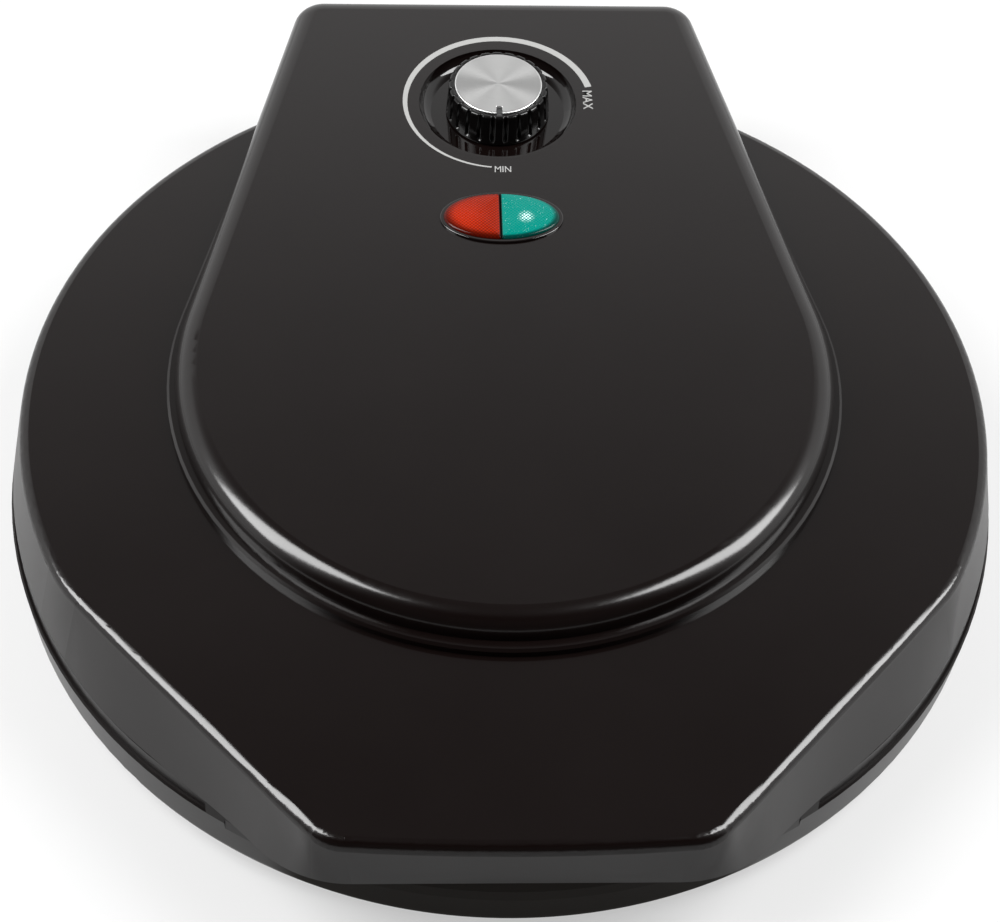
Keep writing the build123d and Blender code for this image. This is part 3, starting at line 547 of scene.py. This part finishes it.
def heated_steel(name, colour):
    """Element sheath: dark oxide with brown and blue heat tints and a dry skin."""
    bench = Bench(name)
    tint = bench.noise(11.0, 3.0)
    skin = bench.noise(0.6, 3.0)
    stops = [(0.25, (0.05, 0.055, 0.07)), (0.5, colour), (0.8, (0.20, 0.14, 0.09))]
    ramp = bench.node("ShaderNodeValToRGB", {"stops": stops}, {0: tint})
    return bench.surface(
        Base_Color=bench.mix(skin * 0.35, ramp, (0.16, 0.15, 0.14)),
        Metallic=0.85,
        Roughness=0.42 + skin * 0.2,
        Normal=bench.bump(skin, 0.02),
    )


def rubber(name):
    """Black rubber: a dry fine skin, greyer where it is rubbed."""
    bench = Bench(name)
    skin = bench.noise(0.45, 3.0)
    dust = bench.noise(6.0, 3.0).step(0.5, 0.8)
    base = bench.mix(dust * 0.5, (0.012, 0.012, 0.012), (0.045, 0.044, 0.042))
    normal = bench.bump(skin, 0.03)
    return bench.surface(Base_Color=base, Roughness=0.68 + skin * 0.15, Normal=normal)


def ceramic(name):
    """Unglazed white ceramic: fine pores and faint yellowing."""
    bench = Bench(name)
    pores = bench.noise(0.35, 3.0)
    warm = bench.noise(7.0, 2.0)
    base = bench.mix(warm, (0.78, 0.76, 0.70), (0.66, 0.61, 0.52))
    normal = bench.bump(pores, 0.03)
    return bench.surface(Base_Color=base, Roughness=0.55 + pores * 0.2, Normal=normal)


def brass(name):
    """Drawn brass: fine lines and dull patches."""
    bench = Bench(name)
    patch = bench.noise(3.0, 3.0)
    lines = bench.noise(0.3, 2.0)
    return bench.surface(
        Base_Color=bench.mix(patch, (0.62, 0.47, 0.20), (0.42, 0.31, 0.14)),
        Metallic=1.0,
        Roughness=0.28 + patch * 0.18,
        Normal=bench.bump(lines, 0.01),
    )


def sleeve(name):
    """Glass fibre sleeve over a lead: a fine crossed braid."""
    bench = Bench(name)
    x, y, z = bench.axes()
    braid = ((y + x * 1.4 + z * 1.4) * 5.2).sine().absolute()
    crossed = ((y - x * 1.4 - z * 1.4) * 5.2).sine().absolute()
    weave = braid * crossed
    base = bench.mix(weave, (0.50, 0.47, 0.40), (0.78, 0.75, 0.68))
    normal = bench.bump(weave, 0.08)
    return bench.surface(Base_Color=base, Roughness=0.62 + weave * 0.1, Normal=normal)


def lamp_glass(name):
    """Thin clear glass of a neon lamp, warmer in patches."""
    bench = Bench(name)
    haze = bench.noise(1.2, 2.0)
    base = bench.mix(haze, (0.95, 0.90, 0.84), (0.85, 0.62, 0.42))
    return bench.surface(Base_Color=base, Roughness=0.05 + haze * 0.05, Transmission_Weight=0.7)


def finish_node(material, *names):
    """Gives a material to the slots of CAD nodes."""
    for name in names:
        mesh = NODES[name].data
        if not mesh.materials:
            mesh.materials.append(material)
        for index in range(len(mesh.materials)):
            mesh.materials[index] = material


def make_piece(name, points, faces, material, body, crease):
    """Puts points in millimetres and faces into a closed mesh, with its faces outwards."""
    mesh = bpy.data.meshes.new(name)
    mesh.from_pydata((points * MM).tolist(), [], faces)
    work = bmesh.new()
    work.from_mesh(mesh)
    bmesh.ops.remove_doubles(work, verts=work.verts, dist=1e-7)
    bmesh.ops.recalc_face_normals(work, faces=work.faces)
    work.to_mesh(mesh)
    work.free()
    mesh.polygons.foreach_set("use_smooth", [True] * len(mesh.polygons))
    mesh.set_sharp_from_angle(angle=math.radians(crease))
    mesh.materials.append(material)
    piece = bpy.data.objects.new(name, mesh)
    bpy.context.scene.collection.objects.link(piece)
    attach(piece, body)
    return piece


def grid_faces(rows, columns, wrap_rows, wrap_columns):
    """Quads between the neighbours of a grid, joined round its ends where it wraps."""
    row = np.arange(rows if wrap_rows else rows - 1)[:, None]
    column = np.arange(columns if wrap_columns else columns - 1)[None, :]
    next_row = (row + 1) % rows
    next_column = (column + 1) % columns
    corners = [
        row * columns + column,
        row * columns + next_column,
        next_row * columns + next_column,
        next_row * columns + column,
    ]
    return np.stack(corners, axis=-1).reshape(-1, 4).tolist()


def fan(row, columns, centre):
    """Triangles from one row of a grid to a centre point."""
    column = np.arange(columns)
    first = row * columns + column
    second = row * columns + (column + 1) % columns
    hub = np.full(columns, centre)
    return np.stack([first, second, hub], axis=-1).tolist()


def capped(grid):
    """A grid that wraps round its columns, with a pole at the middle of each end row."""
    rows, columns = grid.shape[:2]
    points = grid.reshape(-1, 3)
    poles = np.stack([grid[0].mean(axis=0), grid[-1].mean(axis=0)])
    faces = grid_faces(rows, columns, False, True)
    faces += fan(0, columns, rows * columns)
    faces += fan(rows - 1, columns, rows * columns + 1)
    return np.concatenate([points, poles]), faces


def smooth(value, low, high):
    """0 below low, 1 above high and smooth between them, for whole arrays."""
    share = np.clip((value - low) / (high - low), 0.0, 1.0)
    return share * share * (3.0 - 2.0 * share)


def knob_points(sizes):
    """The skirt: a profile turned about the knob's axis.

    A point at angle a on profile point (r, z) lies at (r - d cut(a) reach(z)) from the axis.
    cut is 1 in the middle of a groove and 0 between grooves, and reach fades it at the foot.
    """
    low = SKIRT_LOW[2]
    top = SKIRT_HIGH[2]
    seat = CAP_LOW[2]
    bore = 3.1
    hub = 5.2
    inside = SKIRT_RADIUS - 2.2
    ceiling = top - 4.4
    foot = 0.5
    shoulder = 0.8
    draft = 0.9
    rim = SKIRT_RADIUS - draft
    wall = np.linspace(0.0, 1.0, 30)[1:]
    foot_turn = np.linspace(0.0, math.pi / 2, 6)
    shoulder_turn = np.linspace(0.0, math.pi / 2, 8)[1:]
    hollow = [bore, bore, hub, hub, inside, inside]
    radius = np.concatenate([
        hollow,
        SKIRT_RADIUS - foot + foot * np.sin(foot_turn),
        SKIRT_RADIUS - draft * wall,
        rim - shoulder + shoulder * np.cos(shoulder_turn),
        [CAP_RADIUS + 0.25, CAP_RADIUS + 0.02, CAP_RADIUS + 0.02, bore],
    ])
    height = np.concatenate([
        [seat - 1.0, low, low, ceiling, ceiling, low],
        low + foot - foot * np.cos(foot_turn),
        low + foot + (top - foot - shoulder - low) * wall,
        top - shoulder + shoulder * np.sin(shoulder_turn),
        [top, top - 0.15, seat, seat],
    ])
    steps_per_flute = 24
    groove_share = 0.34
    columns = sizes.flutes * steps_per_flute
    angle = np.arange(columns) * 2 * math.pi / columns
    phase = (angle + math.pi / 2) * sizes.flutes / (2 * math.pi)
    offset = np.abs(phase - np.floor(phase) - 0.5) * 2
    cut = np.sqrt(np.clip(1.0 - (offset / groove_share) ** 2, 0.0, 1.0))
    inward = np.clip((radius - CAP_RADIUS) / (rim - CAP_RADIUS), 0.0, 1.0)
    reach = smooth(height - low, 1.3, 1.9) * inward
    reach[:len(hollow)] = 0.0
    depth = sizes.flute_depth / MM
    turned = radius[:, None] - depth * cut[None, :] * reach[:, None]
    x = KNOB_X + turned * np.cos(angle)[None, :]
    y = KNOB_Y + turned * np.sin(angle)[None, :]
    z = np.broadcast_to(height[:, None], turned.shape)
    grid = np.stack([x, y, z], axis=-1)
    return grid.reshape(-1, 3), grid_faces(*turned.shape, True, True)


def cap_points():
    """The cap: rings from the middle out, over the edge and back under, with a notch.

    The height at (r, a) is the top less the notch's depth times a soft box in x and y.
    """
    low = CAP_LOW[2]
    top = CAP_HIGH[2]
    columns = 480
    flat_rings = 96
    notch_depth = 0.75
    least_thickness = 0.25
    angle = np.arange(columns) * 2 * math.pi / columns
    ring = np.concatenate([
        np.linspace(0.15, CAP_RADIUS - 0.45, flat_rings),
        CAP_RADIUS - np.array([0.15, 0.03, 0.0, 0.0, 0.2]),
        [0.15],
    ])
    level = np.concatenate([
        np.full(flat_rings, top),
        [top - 0.10, top - 0.22, top - 0.40, low + 0.1, low, low],
    ])
    x = ring[:, None] * np.cos(angle)[None, :]
    y = ring[:, None] * np.sin(angle)[None, :]
    side = 1.0 - smooth(np.abs(x), NOTCH_HALF_WIDTH - 0.08, NOTCH_HALF_WIDTH + 0.08)
    end = NOTCH_LENGTH - CAP_RADIUS
    inward = 1.0 - smooth(y, end - 0.1, end + 0.2)
    upper = (level > low + 0.5)[:, None]
    height = level[:, None] - np.where(upper, notch_depth * side * inward, 0.0)
    height = np.maximum(height, low + np.where(upper, least_thickness, 0.0))
    return capped(np.stack([x + KNOB_X, y + KNOB_Y, height], axis=-1))


def arc_points(sizes):
    """The printed arc: a flat strip whose width changes with the angle a along it.

    Its outer edge has a constant radius R, and its inner edge is at R - w(a).
    """
    count = 260
    share = np.linspace(0.0, 1.0, count)
    angle = sizes.arc_start - share * sizes.arc_sweep
    wide = sizes.arc_wide / MM
    narrow = sizes.arc_narrow / MM
    width = narrow + (wide - narrow) * smooth(share, -0.08, 0.66)
    outer = np.full(count, sizes.arc_radius / MM)
    inner = outer - width
    low = COVER_TOP - PRINT_SUNK
    high = COVER_TOP + sizes.print_height / MM
    radii = np.stack([inner, outer, outer, inner], axis=1)
    levels = np.array([high, high, low, low])
    x = KNOB_X + ARC_SHIFT[0] + radii * np.cos(angle)[:, None]
    y = KNOB_Y + ARC_SHIFT[1] + radii * np.sin(angle)[:, None]
    z = np.broadcast_to(levels[None, :], radii.shape)
    grid = np.stack([x, y, z], axis=-1)
    last = (count - 1) * 4
    ends = [[0, 1, 2, 3], [last, last + 1, last + 2, last + 3]]
    return grid.reshape(-1, 3), grid_faces(count, 4, False, True) + ends


def lens_points(low, high, side, sizes):
    """Half of an oval lens: its outline is shrunk towards a middle point row by row.

    A point is C + s (P(t) - C). The top is a low crown with diamonds, |sin| times |sin| of
    the two diagonals, and rows beyond it round the edge, go down, and come back inside.
    """
    split, tip = (low[0], high[0]) if side > 0 else (high[0], low[0])
    reach = tip - split
    middle_y = (low[1] + high[1]) / 2
    half_width = (high[1] - low[1]) / 2
    foot = low[2]
    top = high[2]
    ceiling = top - 2.9
    edge_drop = 1.1
    crown_rows = 84
    crown_share = 0.90
    wall_share = 0.86
    turn = np.linspace(-math.pi / 2, math.pi / 2, 220)
    curve = np.stack([split + reach * np.cos(turn), middle_y + half_width * np.sin(turn)], 1)
    straight_y = middle_y + np.linspace(half_width, -half_width, 62)[1:-1]
    straight = np.stack([np.full(len(straight_y), split), straight_y], 1)
    outline = np.concatenate([curve, straight])
    centre = np.array([split + reach * 0.42, middle_y])
    inner = np.linspace(0.02, crown_share, crown_rows)
    edge_turn = np.linspace(0.0, math.pi / 2, 9)[1:]
    scale = np.concatenate([
        inner,
        crown_share + (1.0 - crown_share) * np.sin(edge_turn),
        [1.0, wall_share, wall_share, 0.02],
    ])
    crown = top - 0.10 - 0.55 * inner ** 2
    level = np.concatenate([
        crown,
        crown[-1] - edge_drop * (1.0 - np.cos(edge_turn)),
        [foot, foot, ceiling, ceiling],
    ])
    plan = centre + scale[:, None, None] * (outline - centre)[None, :, :]
    diamond_phase = math.pi / (sizes.lens_pitch / MM * math.sqrt(2))
    rising = np.abs(np.sin((plan[..., 0] + plan[..., 1]) * diamond_phase))
    falling = np.abs(np.sin((plan[..., 0] - plan[..., 1]) * diamond_phase))
    fade = np.zeros(len(scale))
    fade[:crown_rows] = 1.0 - smooth(inner, 0.80, 0.89)
    z = level[:, None] + sizes.lens_relief / MM * rising * falling * fade[:, None]
    return capped(np.concatenate([plan, z[..., None]], axis=-1))


def word_piece(text, centre, turn, cap_height, length, sizes, material):
    """A printed word, its letters scaled to a cap height and a length, lying on the cover."""
    name = f"word_{text.lower()}"
    curve = bpy.data.curves.new(name, "FONT")
    curve.body = text
    curve.align_x = "CENTER"
    curve.align_y = "CENTER"
    curve.extrude = 0.5
    curve.offset = 0.004
    holder = bpy.data.objects.new(name, curve)
    bpy.context.scene.collection.objects.link(holder)
    bpy.context.view_layer.update()
    solid = holder.evaluated_get(bpy.context.evaluated_depsgraph_get())
    mesh = bpy.data.meshes.new_from_object(solid)
    bpy.data.objects.remove(holder)
    bpy.data.curves.remove(curve)
    flat = np.zeros(len(mesh.vertices) * 3)
    mesh.vertices.foreach_get("co", flat)
    faces = [list(polygon.vertices) for polygon in mesh.polygons]
    bpy.data.meshes.remove(mesh)
    points = flat.reshape(-1, 3)
    low, high = points.min(axis=0), points.max(axis=0)
    unit = (points - (low + high) / 2) / (high - low)
    across = unit[:, 0] * length
    up = unit[:, 1] * cap_height
    thick = sizes.print_height / MM + PRINT_SUNK
    x = centre[0] + across * math.cos(turn) - up * math.sin(turn)
    y = centre[1] + across * math.sin(turn) + up * math.cos(turn)
    z = COVER_TOP - PRINT_SUNK + (unit[:, 2] + 0.5) * thick
    placed = np.stack([x, y, z], axis=1)
    return make_piece(name, placed, faces, material, "lid", 30)


class PIZZAMAKER_OT_shells(bpy.types.Operator):
    """Finish the base, the lid, the control cover and the lamp bezel"""

    bl_idname = "pizzamaker.shells"
    bl_label = "Shells"

    def execute(self, context):
        colour = list(context.scene.pizza_maker_colours.shell)
        finish_node(lid_gloss("lid_black", colour), "lid_shell")
        finish_node(cover_gloss("cover_black", colour), "control_cover")
        finish_node(base_gloss("base_black", colour), "base_shell")
        finish_node(bezel_gloss("bezel_black", colour), "lamp_bezel")
        return {"FINISHED"}


class PIZZAMAKER_OT_knob(bpy.types.Operator):
    """Make the fluted skirt and the spun cap of the knob, and finish its shaft"""

    bl_idname = "pizzamaker.knob"
    bl_label = "Knob"

    def execute(self, context):
        colours = context.scene.pizza_maker_colours
        plastic = knob_plastic("knob_black", list(colours.knob))
        metal = spun_metal("knob_metal", list(colours.metal))
        points, faces = knob_points(context.scene.pizza_maker_sizes)
        skirt = make_piece("knob_skirt", points, faces, plastic, "knob", 35)
        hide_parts("knob_body")
        points, faces = cap_points()
        cap = make_piece("knob_disc", points, faces, metal, "knob", 30)
        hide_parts("knob_cap")
        finish_node(brass("shaft_brass"), "thermostat_shaft")
        return {"FINISHED"}


class PIZZAMAKER_OT_dial(bpy.types.Operator):
    """Print the dial's arc and its two words on the cover"""

    bl_idname = "pizzamaker.dial"
    bl_label = "Dial print"

    def execute(self, context):
        sizes = context.scene.pizza_maker_sizes
        material = ink("print_ink", list(context.scene.pizza_maker_colours.print_ink))
        points, faces = arc_points(sizes)
        make_piece("dial_arc", points, faces, material, "lid", 30)
        for text, x, from_knob, turn, cap_height, length in WORDS:
            centre = (x, KNOB_Y + from_knob)
            word_piece(text, centre, math.radians(turn), cap_height, length, sizes, material)
        return {"FINISHED"}


class PIZZAMAKER_OT_lamp(bpy.types.Operator):
    """Make the red and the green lens of the pilot lamp, and finish its neon lamps"""

    bl_idname = "pizzamaker.lamp"
    bl_label = "Pilot lamp"

    def execute(self, context):
        sizes = context.scene.pizza_maker_sizes
        colours = context.scene.pizza_maker_colours
        red = lens_plastic(
            "red_lens", list(colours.red), glow_x=-13.6, spark=0.0, dark=0.32, rim=0.76
        )
        green = lens_plastic(
            "green_lens", list(colours.green), glow_x=8.7, spark=0.9, dark=0.95, rim=0.88
        )
        points, faces = lens_points(RED_LOW, RED_HIGH, -1, sizes)
        piece = make_piece("red_window", points, faces, red, "lid", 50)
        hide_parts("lens_red")
        points, faces = lens_points(GREEN_LOW, GREEN_HIGH, 1, sizes)
        piece = make_piece("green_window", points, faces, green, "lid", 50)
        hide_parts("lens_green")
        finish_node(lamp_glass("neon_glass"), "neon_lamps")
        return {"FINISHED"}


class PIZZAMAKER_OT_plates(bpy.types.Operator):
    """Finish the two cooking plates"""

    bl_idname = "pizzamaker.plates"
    bl_label = "Cooking plates"

    def execute(self, context):
        colour = list(context.scene.pizza_maker_colours.coating)
        finish_node(plate_coating("plate_coating", colour), "lower_plate", "upper_plate")
        return {"FINISHED"}


class PIZZAMAKER_OT_heating(bpy.types.Operator):
    """Finish the elements, the shields and the electrical pieces"""

    bl_idname = "pizzamaker.heating"
    bl_label = "Heating and electrics"

    def execute(self, context):
        oxide = heated_steel("element_oxide", (0.12, 0.11, 0.10))
        finish_node(oxide, "lower_element", "upper_element")
        shield = rolled_steel("shield_steel", (0.62, 0.62, 0.63), 0.22, 5.0)
        finish_node(shield, "lower_shield", "upper_shield")
        finish_node(ceramic("white_ceramic"), "terminal_block", "thermostat")
        finish_node(sleeve("lead_sleeve"), "base_leads", "lid_leads")
        finish_node(brass("fuse_brass"), "thermal_fuse")
        return {"FINISHED"}


class PIZZAMAKER_OT_fixings(bpy.types.Operator):
    """Finish the screws, the fuse clip, the hinge pins, the feet and the grommet"""

    bl_idname = "pizzamaker.fixings"
    bl_label = "Fixings and feet"

    def execute(self, context):
        steel = rolled_steel("zinc_steel", (0.58, 0.58, 0.60), 0.24, 1.4)
        finish_node(
            steel,
            "lower_plate_screws",
            "lower_shield_screws",
            "upper_plate_screws",
            "upper_shield_screws",
            "cover_screws",
            "thermostat_screws",
            "clip_screw",
            "fuse_clip",
            "hinge_pins",
        )
        finish_node(rubber("foot_rubber"), "feet", "cord_grommet")
        return {"FINISHED"}


class PIZZAMAKER_OT_stage(bpy.types.Operator):
    """Make the floor, the studio light and the camera"""

    bl_idname = "pizzamaker.stage"
    bl_label = "Stage"

    def execute(self, context):
        scene = context.scene
        scene.view_settings.view_transform = "Standard"
        self.make_floor(scene)
        self.make_sky(scene)
        for name, centre, width, height, power in SOFT_BOXES:
            self.make_soft_box(scene, name, centre, width, height, power)
        self.make_camera(scene)
        return {"FINISHED"}

    def make_floor(self, scene):
        """A wide disc on the table level: rings of a circle of growing radius."""
        columns = 96
        angle = np.arange(columns) * 2 * math.pi / columns
        radius = np.array([0.02, 0.5, 1.5, 4.0, 9.0])
        x = radius[:, None] * np.cos(angle)[None, :]
        y = radius[:, None] * np.sin(angle)[None, :]
        points = np.stack([x, y, np.zeros_like(x)], axis=-1).reshape(-1, 3)
        faces = grid_faces(len(radius), columns, False, True) + [list(range(columns))]
        mesh = bpy.data.meshes.new("floor")
        mesh.from_pydata(points.tolist(), [], faces)
        bench = Bench("floor_white")
        shade = bench.noise(400.0, 2.0)
        colour = list(scene.pizza_maker_colours.floor)
        material = bench.surface(
            Base_Color=bench.mix(shade, [c * 0.985 for c in colour], colour),
            Roughness=0.75,
            Emission_Color=(1.0, 1.0, 1.0, 1.0),
            Emission_Strength=0.50,
        )
        mesh.materials.append(material)
        floor = bpy.data.objects.new("floor", mesh)
        scene.collection.objects.link(floor)

    def make_sky(self, scene):
        """A sky that darkens upwards, and that is dark behind the camera."""
        bench = Bench("studio", "worlds")
        scene.world = bench.owner
        y, z = bench.parts(bench.node("ShaderNodeTexCoord", output="Generated"))[1:]
        stops = [(position, (value, value, value)) for position, value in SKY]
        ramp = bench.node("ShaderNodeValToRGB", {"stops": stops}, {0: z})
        strength = SKY_FRONT + y.step(*SKY_MEETING) * (SKY_BEHIND - SKY_FRONT)
        inputs = {"Color": ramp, "Strength": strength}
        glow = bench.node("ShaderNodeBackground", inputs=inputs)
        bench.node("ShaderNodeOutputWorld", inputs={"Surface": glow})

    def make_soft_box(self, scene, name, centre, width, height, power):
        """A rectangular light at centre that faces the pizza maker."""
        light = bpy.data.lights.new(name, "AREA")
        light.shape = "RECTANGLE"
        light.size = width
        light.size_y = height
        light.energy = power
        holder = bpy.data.objects.new(name, light)
        scene.collection.objects.link(holder)
        holder.location = centre
        facing = Vector(SOFT_BOX_TARGET) - Vector(centre)
        holder.rotation_euler = facing.to_track_quat("-Z", "Y").to_euler()

    def make_camera(self, scene):
        """The photograph's camera: a target, two angles, a roll and a distance."""
        elevation = math.radians(50.8)
        turn = math.radians(-3.55)
        roll = math.radians(2.82)
        distance = 0.887
        target = Vector((0.0006, 0.01505, 0.0))
        back = Vector((
            math.sin(turn) * math.cos(elevation),
            -math.cos(turn) * math.cos(elevation),
            math.sin(elevation),
        ))
        level = Vector((math.cos(turn), math.sin(turn), 0.0))
        above = back.cross(level)
        right = level * math.cos(roll) + above * math.sin(roll)
        up = above * math.cos(roll) - level * math.sin(roll)
        eye = target + back * distance
        lens = bpy.data.cameras.new("camera")
        lens.sensor_width = 36.0
        lens.lens = 86.4
        lens.clip_start = 0.05
        lens.clip_end = 50.0
        camera = bpy.data.objects.new("camera", lens)
        scene.collection.objects.link(camera)
        turned = Matrix((right, up, back)).transposed().to_4x4()
        camera.matrix_world = Matrix.Translation(eye) @ turned
        scene.camera = camera


OPERATORS = (
    PIZZAMAKER_OT_shells,
    PIZZAMAKER_OT_knob,
    PIZZAMAKER_OT_dial,
    PIZZAMAKER_OT_lamp,
    PIZZAMAKER_OT_plates,
    PIZZAMAKER_OT_heating,
    PIZZAMAKER_OT_fixings,
    PIZZAMAKER_OT_stage,
)


class PIZZAMAKER_PT_panel(bpy.types.Panel):
    """Lists the steps that dress the pizza maker, and their settings."""

    bl_idname = "PIZZAMAKER_PT_panel"
    bl_label = "Pizza maker"
    bl_space_type = "VIEW_3D"
    bl_region_type = "UI"
    bl_category = "Pizza maker"

    def draw(self, context):
        for operator in OPERATORS:
            self.layout.operator(operator.bl_idname)
        for group in (context.scene.pizza_maker_sizes, context.scene.pizza_maker_colours):
            box = self.layout.box()
            for name in group.__annotations__:
                box.prop(group, name)


CLASSES = (PizzaMakerSizes, PizzaMakerColours, *OPERATORS, PIZZAMAKER_PT_panel)


def register():
    """Registers the classes and the settings on the scene."""
    for one in CLASSES:
        bpy.utils.register_class(one)
    bpy.types.Scene.pizza_maker_sizes = PointerProperty(type=PizzaMakerSizes)
    bpy.types.Scene.pizza_maker_colours = PointerProperty(type=PizzaMakerColours)


def unregister():
    """Takes the settings and the classes away again."""
    del bpy.types.Scene.pizza_maker_colours
    del bpy.types.Scene.pizza_maker_sizes
    for one in reversed(CLASSES):
        bpy.utils.unregister_class(one)


def main():
    register()
    for operator in OPERATORS:
        group, step = operator.bl_idname.split(".")
        getattr(getattr(bpy.ops, group), step)()


if __name__ == "__main__":
    main()
